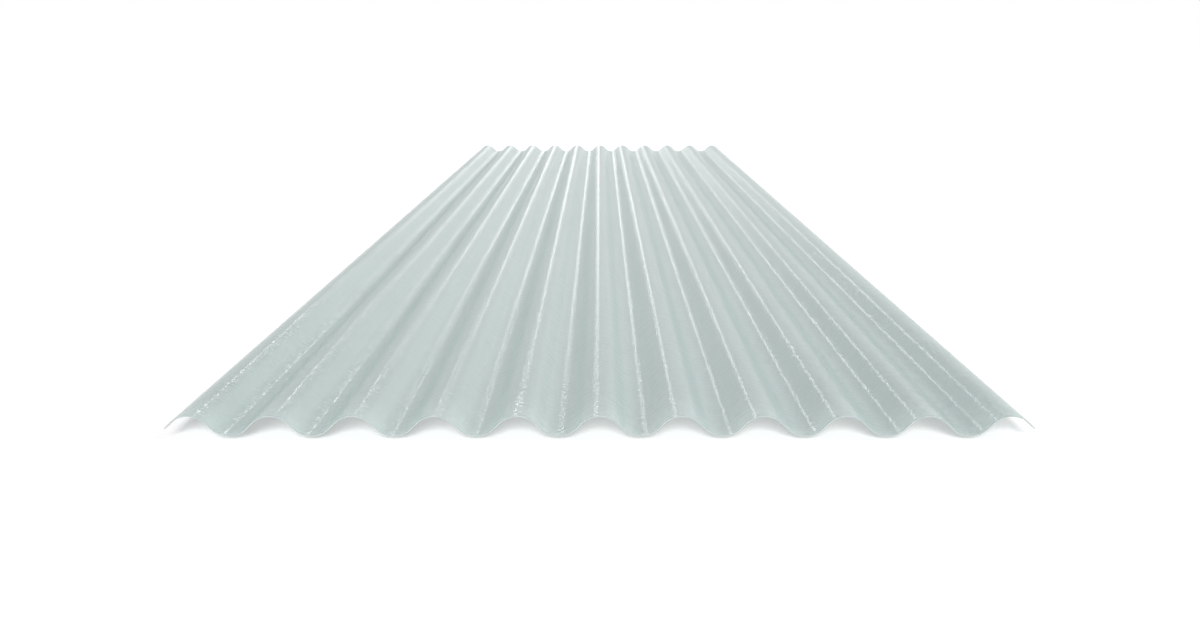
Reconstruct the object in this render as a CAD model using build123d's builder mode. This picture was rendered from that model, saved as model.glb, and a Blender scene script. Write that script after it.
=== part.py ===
from build123d import *
from math import atan2, cos, degrees, sin
import os

# Corrugated roof sheet of glass-fibre polyester, moulded in one piece with an even wall.
# It lies flat with its valleys on the floor: X runs across the waves, Y along them, Z is up.
# The origin is on the floor below the centre crest, halfway along the sheet.

# Driving dimensions in millimetres
SHEET_LENGTH = 3000.0
SHEET_THICKNESS = 1.0
CREST_COUNT = 11
WAVE_PITCH = 76.2  # from one crest line to the next
WAVE_DEPTH = 19.0  # from crest to valley, measured on one face
FLANK_STRAIGHT = 8.0  # flat stretch between a crest bend and the valley bend beside it
EDGE_RUN = 21.5  # from an outer crest line to the cut side edge

# A crest bend and a valley bend share one radius on the centre line of the wall.
# The flat stretch is tangent to both, which fixes that radius and the slope of the flank.
half_pitch = WAVE_PITCH / 2
bend_radius = (half_pitch**2 + WAVE_DEPTH**2 - FLANK_STRAIGHT**2) / (4 * WAVE_DEPTH)
flank_angle = atan2(2 * bend_radius, FLANK_STRAIGHT) - atan2(2 * bend_radius - WAVE_DEPTH, half_pitch)
bend_turn = 2 * degrees(flank_angle)

# The side edges are cut upright, a little past the middle of the last flanks.
cover_width = (CREST_COUNT - 1) * WAVE_PITCH
sheet_width = cover_width + 2 * EDGE_RUN
overall_height = WAVE_DEPTH + SHEET_THICKNESS

# The wave is drawn from the valley outside the first crest to the valley outside the last one.
first_valley = -CREST_COUNT * half_pitch
wave_start = (
    first_valley - bend_radius * sin(flank_angle),
    SHEET_THICKNESS / 2 + bend_radius * (1 - cos(flank_angle)),
)
rising = (cos(flank_angle), sin(flank_angle))
falling = (cos(flank_angle), -sin(flank_angle))

with BuildPart() as roof_sheet:
    with BuildSketch(Plane.XZ) as wave_section:
        with BuildLine() as wall_line:
            valley = JernArc(wave_start, falling, bend_radius, bend_turn)
            for crest_number in range(CREST_COUNT):
                up_flank = PolarLine(valley @ 1, FLANK_STRAIGHT, direction=rising)
                crest = JernArc(up_flank @ 1, rising, bend_radius, -bend_turn)
                down_flank = PolarLine(crest @ 1, FLANK_STRAIGHT, direction=falling)
                valley = JernArc(down_flank @ 1, falling, bend_radius, bend_turn)
            offset(amount=SHEET_THICKNESS / 2, side=Side.BOTH)
        make_face()
        with Locations((0, overall_height / 2)):
            Rectangle(sheet_width, 2 * overall_height, mode=Mode.INTERSECT)
    extrude(amount=SHEET_LENGTH / 2, both=True)

roof_sheet.part.label = "roof_sheet"

os.makedirs("parts", exist_ok=True)
export_step(roof_sheet.part, "parts/roof_sheet.step")
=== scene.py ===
import math

import bpy
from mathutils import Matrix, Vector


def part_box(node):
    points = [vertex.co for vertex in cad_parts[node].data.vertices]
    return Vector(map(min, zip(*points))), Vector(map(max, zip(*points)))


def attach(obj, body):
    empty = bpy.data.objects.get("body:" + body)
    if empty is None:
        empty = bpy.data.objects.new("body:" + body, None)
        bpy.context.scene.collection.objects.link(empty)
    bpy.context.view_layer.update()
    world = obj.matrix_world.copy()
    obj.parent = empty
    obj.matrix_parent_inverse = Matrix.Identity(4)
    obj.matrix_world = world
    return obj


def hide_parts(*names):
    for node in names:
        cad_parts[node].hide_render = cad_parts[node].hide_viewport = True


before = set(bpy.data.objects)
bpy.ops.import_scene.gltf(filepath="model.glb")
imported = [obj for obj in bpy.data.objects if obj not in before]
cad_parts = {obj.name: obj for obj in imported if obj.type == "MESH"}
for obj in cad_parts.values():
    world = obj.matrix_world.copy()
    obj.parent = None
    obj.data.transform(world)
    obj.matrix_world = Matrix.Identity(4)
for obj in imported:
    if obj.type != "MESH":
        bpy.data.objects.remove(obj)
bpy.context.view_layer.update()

# Roof sheet
# One corrugated sheet of glass-fibre polyester, cured over a waved former and then sawn to
# length and width. The wall is even, the bends share one radius and the flanks are short flats.
sheet_low, sheet_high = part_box("roof_sheet")
sheet_length = sheet_high.y - sheet_low.y
sheet_half_width = (sheet_high.x - sheet_low.x) / 2
wall = 0.001
wave_pitch = 0.0762
wave_depth = 0.019
flank_flat = 0.008
half_pitch = wave_pitch / 2
crests_each_side = int(sheet_half_width / wave_pitch)
first_crest = -crests_each_side * wave_pitch
valley_level = wall / 2
crest_level = valley_level + wave_depth
bend_radius = (half_pitch**2 + wave_depth**2 - flank_flat**2) / (4 * wave_depth)
flank_slope = math.atan2(2 * bend_radius, flank_flat) - math.atan2(
    2 * bend_radius - wave_depth, half_pitch
)
flank_run = flank_flat * math.cos(flank_slope)
flank_rise = flank_flat * math.sin(flank_slope)
bend_steps = 20

# The first rising flank is a strip as long as the sheet, tilted to the flank's slope.
bpy.ops.object.select_all(action="DESELECT")
bpy.ops.mesh.primitive_plane_add(
    size=1,
    location=(first_crest - half_pitch / 2, 0, (valley_level + crest_level) / 2),
    rotation=(0, -flank_slope, 0),
)
sheet = bpy.context.object
sheet.name = "corrugated_sheet"
sheet.scale = (flank_flat, sheet_length, 1)
bpy.ops.object.transform_apply(location=True, rotation=True, scale=True)

# Its upper edge is swept over the crest, down the falling flank and through the valley.
crest_centre = (first_crest, 0, crest_level - bend_radius)
valley_centre = (first_crest + half_pitch, 0, valley_level + bend_radius)
bpy.ops.object.mode_set(mode="EDIT")
bpy.ops.mesh.select_mode(type="EDGE")
bpy.ops.mesh.select_all(action="DESELECT")
bpy.ops.object.mode_set(mode="OBJECT")
corners = sheet.data.vertices
strip_middle = max(corner.co.x for corner in corners) - flank_run / 2
for edge in sheet.data.edges:
    edge.select = all(corners[end].co.x > strip_middle for end in edge.vertices)
bpy.ops.object.mode_set(mode="EDIT")
bpy.ops.mesh.spin(steps=bend_steps, angle=-2 * flank_slope, center=crest_centre, axis=(0, 1, 0))
bpy.ops.mesh.extrude_edges_move(TRANSFORM_OT_translate={"value": (flank_run, 0, -flank_rise)})
bpy.ops.mesh.spin(steps=bend_steps, angle=2 * flank_slope, center=valley_centre, axis=(0, 1, 0))
bpy.ops.object.mode_set(mode="OBJECT")

# The wave is repeated across the sheet, and each one is joined to the next.
waves = sheet.modifiers.new("waves", "ARRAY")
waves.count = 2 * crests_each_side + 1
waves.use_relative_offset = False
waves.use_constant_offset = True
waves.constant_offset_displace = (wave_pitch, 0, 0)
waves.use_merge_vertices = True
waves.merge_threshold = wall / 50
bpy.ops.object.modifier_apply(modifier=waves.name)
bpy.ops.object.mode_set(mode="EDIT")
bpy.ops.mesh.select_all(action="SELECT")
bpy.ops.mesh.normals_make_consistent(inside=False)
bpy.ops.object.mode_set(mode="OBJECT")

# The wall gets its thickness to both sides of that surface, and the long sides are sawn upright.
thickness = sheet.modifiers.new("wall", "SOLIDIFY")
thickness.thickness = wall
thickness.offset = 0
thickness.use_even_offset = True
bpy.ops.object.modifier_apply(modifier=thickness.name)
bpy.ops.object.mode_set(mode="EDIT")
for side in (-1, 1):
    bpy.ops.mesh.select_all(action="SELECT")
    bpy.ops.mesh.bisect(
        plane_co=(side * sheet_half_width, 0, 0),
        plane_no=(side, 0, 0),
        use_fill=True,
        clear_outer=True,
    )
bpy.ops.object.mode_set(mode="OBJECT")

# The sawn edges are slightly eased, and the bends are shaded as smooth curves.
corner_angle = math.radians(60)
smooth_angle = math.radians(20)
eased = sheet.modifiers.new("eased_edges", "BEVEL")
eased.width = wall / 8
eased.segments = 2
eased.limit_method = "ANGLE"
eased.angle_limit = corner_angle
bpy.ops.object.modifier_apply(modifier=eased.name)
bpy.ops.object.shade_smooth_by_angle(angle=smooth_angle)


class Shade:
    """A value in a material. Arithmetic on it adds Math nodes, and node() adds any other node."""

    def __init__(self, tree, socket=None):
        self.tree = tree
        self.socket = socket

    def node(self, kind, settings, sockets, output=0):
        made = self.tree.nodes.new(kind)
        for name, setting in settings.items():
            setattr(made, name, setting)
        for key, given in sockets.items():
            if isinstance(given, Shade):
                self.tree.links.new(given.socket, made.inputs[key])
            else:
                made.inputs[key].default_value = given
        return Shade(self.tree, made.outputs[output] if made.outputs else None)

    def math(self, operation, first, second):
        return self.node("ShaderNodeMath", {"operation": operation}, {0: first, 1: second})

    def __add__(self, other):
        return self.math("ADD", self, other)

    def __radd__(self, other):
        return self.math("ADD", other, self)

    def __sub__(self, other):
        return self.math("SUBTRACT", self, other)

    def __rsub__(self, other):
        return self.math("SUBTRACT", other, self)

    def __mul__(self, other):
        return self.math("MULTIPLY", self, other)

    def __rmul__(self, other):
        return self.math("MULTIPLY", other, self)

    def __lt__(self, other):
        return self.math("LESS_THAN", self, other)

    def __gt__(self, other):
        return self.math("GREATER_THAN", self, other)

    def __abs__(self):
        return self.node("ShaderNodeMath", {"operation": "ABSOLUTE"}, {0: self})


polyester = bpy.data.materials.new("grey_green_polyester")
polyester.use_nodes = True
polyester.node_tree.nodes.clear()
paint = Shade(polyester.node_tree)
place = paint.node("ShaderNodeTexCoord", {}, {}, "Object")
facing = paint.node("ShaderNodeTexCoord", {}, {}, "Normal")


def smooth_step(value, start, end):
    return paint.node(
        "ShaderNodeMapRange",
        {"interpolation_type": "SMOOTHSTEP"},
        {"Value": value, "From Min": start, "From Max": end, "To Min": 0, "To Max": 1},
    )


def blend(share, first, second):
    return paint.node("ShaderNodeMix", {"data_type": "RGBA"}, {0: share, 6: first, 7: second}, 2)


# Chopped glass strands lie in the resin in all directions and print through as faint ridges.
strand_length = 0.03
strand_width = 0.004
strand_height = 0.00003
strand_edge = 0.52
strand_core = 0.72
strand_turns = (0.15, 0.7, 1.2, 1.75, 2.2, 2.75)


def strand_layer(turn):
    along = paint.node(
        "ShaderNodeMapping",
        {"vector_type": "TEXTURE"},
        {
            "Vector": place,
            "Location": (turn, 0, 0),
            "Rotation": (0, 0, turn),
            "Scale": (strand_length, strand_width, 1),
        },
    )
    bundles = paint.node("ShaderNodeTexNoise", {}, {"Vector": along, "Scale": 1, "Detail": 0})
    return smooth_step(bundles, strand_edge, strand_core)


strands = sum(strand_layer(turn) for turn in strand_turns)

# A fine grain, drawn out across the waves, breaks up the light lines that run along them.
grain_scale = 170
grain_height = 0.0009
grain_stretch = (0.35, 1, 0.35)
across = paint.node("ShaderNodeMapping", {}, {"Vector": place, "Scale": grain_stretch})
grain = paint.node(
    "ShaderNodeTexNoise", {}, {"Vector": across, "Scale": grain_scale, "Detail": 1.5}
)
height = strands * strand_height + grain * grain_height
relief = paint.node("ShaderNodeBump", {}, {"Height": height, "Distance": 1, "Strength": 1})

# The resin is a pale grey-green that clouds a little and lets some light through. The flanks are
# painted paler, as painted light that evens out their shade, and a low sheen was chosen, to give
# the even tone of the photo. The underside is painted darker, as painted shade. The sawn edges are
# dull and let no light through.
resin_dark = (0.468, 0.54, 0.531, 1)
resin_light = (0.612, 0.705, 0.694, 1)
# Painted shade: the underside gets this darker colour.
painted_underside_shade = (0.36, 0.405, 0.4, 1)
sawn_colour = (0.34, 0.385, 0.378, 1)
through_colour = (0.9, 0.95, 0.94, 1)
sheen_tint = (0.82, 0.95, 0.93, 1)
fibre_sheen = 0.15
gloss_level = 0.35
gloss_roughness = 0.1
sawn_roughness = 0.6
light_share = 0.4
cloud_scale = 12
cloud_share = 0.18
grain_share = 0.22
strand_share = 0.05
painted_flank_light_share = 0.6
edge_limit = 0.5
clouds = paint.node(
    "ShaderNodeTexNoise", {}, {"Vector": place, "Scale": cloud_scale, "Detail": 3, "Roughness": 0.6}
)
upright = paint.node("ShaderNodeSeparateXYZ", {}, {0: facing}, "Z")
# Painted light: this mask lightens the flanks to even out the shade they get next to the crests.
flank = smooth_step(upright, 1, math.cos(flank_slope))
# Painted shade: this mask darkens the underside.
underside = upright < -edge_limit
sawn = abs(upright) < edge_limit
# Random clouds, grain and strands, plus painted light on the flanks.
paleness_and_painted_flank_light = (
    clouds * cloud_share + grain * grain_share + strands * strand_share + flank * painted_flank_light_share
)
top_colour = blend(paleness_and_painted_flank_light, resin_dark, resin_light)
top_and_painted_underside_shade = blend(underside, top_colour, painted_underside_shade)
surface = paint.node(
    "ShaderNodeBsdfPrincipled",
    {},
    {
        "Base Color": blend(sawn, top_and_painted_underside_shade, sawn_colour),
        "Roughness": gloss_roughness + (sawn_roughness - gloss_roughness) * sawn,
        "Specular IOR Level": gloss_level,
        "Sheen Weight": fibre_sheen,
        "Sheen Tint": sheen_tint,
        "Normal": relief,
    },
)
through = paint.node("ShaderNodeBsdfTranslucent", {}, {"Color": through_colour})
wall_look = paint.node(
    "ShaderNodeMixShader", {}, {0: light_share * (1 - sawn), 1: surface, 2: through}
)
paint.node("ShaderNodeOutputMaterial", {}, {"Surface": wall_look})
sheet.data.materials.clear()
sheet.data.materials.append(polyester)
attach(sheet, "root")
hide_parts("roof_sheet")

# Floor
# A wide plain white floor, lit softly from within like a light table, so that light also comes up
# under the sheet. It is only the stage for the sheet.
floor_size = 400
floor_drop = 0.004
floor_glow = 0.32
floor_white = (0.74, 0.74, 0.74, 1)
floor_roughness = 0.9
bpy.ops.object.select_all(action="DESELECT")
bpy.ops.mesh.primitive_plane_add(size=floor_size, location=(0, 0, -floor_drop))
floor = bpy.context.object
floor.name = "studio_floor"
white = bpy.data.materials.new("white_floor")
white.use_nodes = True
white_finish = white.node_tree.nodes["Principled BSDF"].inputs
white_finish["Base Color"].default_value = floor_white
white_finish["Roughness"].default_value = floor_roughness
white_finish["Specular IOR Level"].default_value = 0
white_finish["Emission Color"].default_value = (1, 1, 1, 1)
white_finish["Emission Strength"].default_value = floor_glow
# The floor is too wide to be aimed at as a lamp, which would only add noise.
white.cycles.emission_sampling = "NONE"
floor.data.materials.append(white)

# Studio light
# An even white room, a soft lamp in front and a weaker one on the right. Far behind the sheet, two
# tall white cards and a strip lamp that leans to the left show in the gloss, as two tones with a
# bright line along each crest and valley.
room_light = 0.32
room = bpy.data.worlds.new("white_room")
room.use_nodes = True
air = Shade(room.node_tree)
seen_by_camera = air.node("ShaderNodeLightPath", {}, {}, "Is Camera Ray")
brightness_seen = room_light + (1 - room_light) * seen_by_camera
room_glow = air.node(
    "ShaderNodeBackground", {}, {"Color": (1, 1, 1, 1), "Strength": brightness_seen}
)
room.node_tree.links.new(room_glow.socket, room.node_tree.nodes["World Output"].inputs["Surface"])
# The even room isn't aimed at as a lamp either.
room.cycles.sampling_method = "NONE"
bpy.context.scene.world = room

front_light = 3.85
front_elevation = math.radians(27)
right_light = 0.82
right_elevation = math.radians(34)
lamp_spread = math.radians(25)


def soft_sun(name, tilt, strength):
    bpy.ops.object.light_add(type="SUN", rotation=tilt)
    lamp = bpy.context.object
    lamp.name = name
    lamp.data.energy = strength
    lamp.data.angle = lamp_spread
    # The gloss shows only the cards and the strip lamp.
    lamp.visible_glossy = False


soft_sun("front_light", (math.pi / 2 - front_elevation, 0, 0), front_light)
soft_sun("right_light", (0, math.pi / 2 - right_elevation, 0), right_light)

card_distance = 30
card_split = -1.1
card_width = 30
card_height = 13
right_card_glow = 0.61
left_card_glow = 0.45
strip_distance = 28
# Each step of the strip lamp has its lower, upper, left and right edge, and its brightness.
strip_steps = (
    (0, 4, -1.95, -0.2, 1.1),
    (4, 7.8, -1.75, -0.65, 1.5),
    (7.8, 10.2, -3.2, -1.9, 2.6),
    (10.2, 14.5, -5.6, -3.9, 4),
)


def glowing_card(name, distance, low, high, left, right, brightness):
    bpy.ops.object.light_add(
        type="AREA",
        location=((left + right) / 2, distance, (low + high) / 2),
        rotation=(math.pi / 2, 0, math.pi),
    )
    card = bpy.context.object
    card.name = name
    card.data.shape = "RECTANGLE"
    card.data.size = right - left
    card.data.size_y = high - low
    # An area lamp is as bright as a quarter of its energy per square metre.
    card.data.energy = 4 * brightness * (right - left) * (high - low)
    card.visible_camera = False


glowing_card("right_card", card_distance, 0, card_height, card_split, card_width, right_card_glow)
glowing_card("left_card", card_distance, 0, card_height, -card_width, card_split, left_card_glow)
for low, high, left, right, glow in strip_steps:
    glowing_card("strip_lamp", strip_distance, low, high, left, right, glow)

# Camera
# It looks along the sheet from beyond the near end, a little above it.
camera_aside = 0.0004
camera_distance = 1.0374
camera_height = 0.3533
camera_dip = math.radians(12.86)
camera_lens = 35.33
camera_sensor = 36
bpy.ops.object.camera_add(
    location=(camera_aside, sheet_low.y - camera_distance, camera_height),
    rotation=(math.pi / 2 - camera_dip, 0, 0),
)
camera = bpy.context.object
camera.data.sensor_width = camera_sensor
camera.data.lens = camera_lens
camera.data.clip_end = 200
bpy.context.scene.camera = camera
bpy.context.scene.view_settings.view_transform = "Standard"
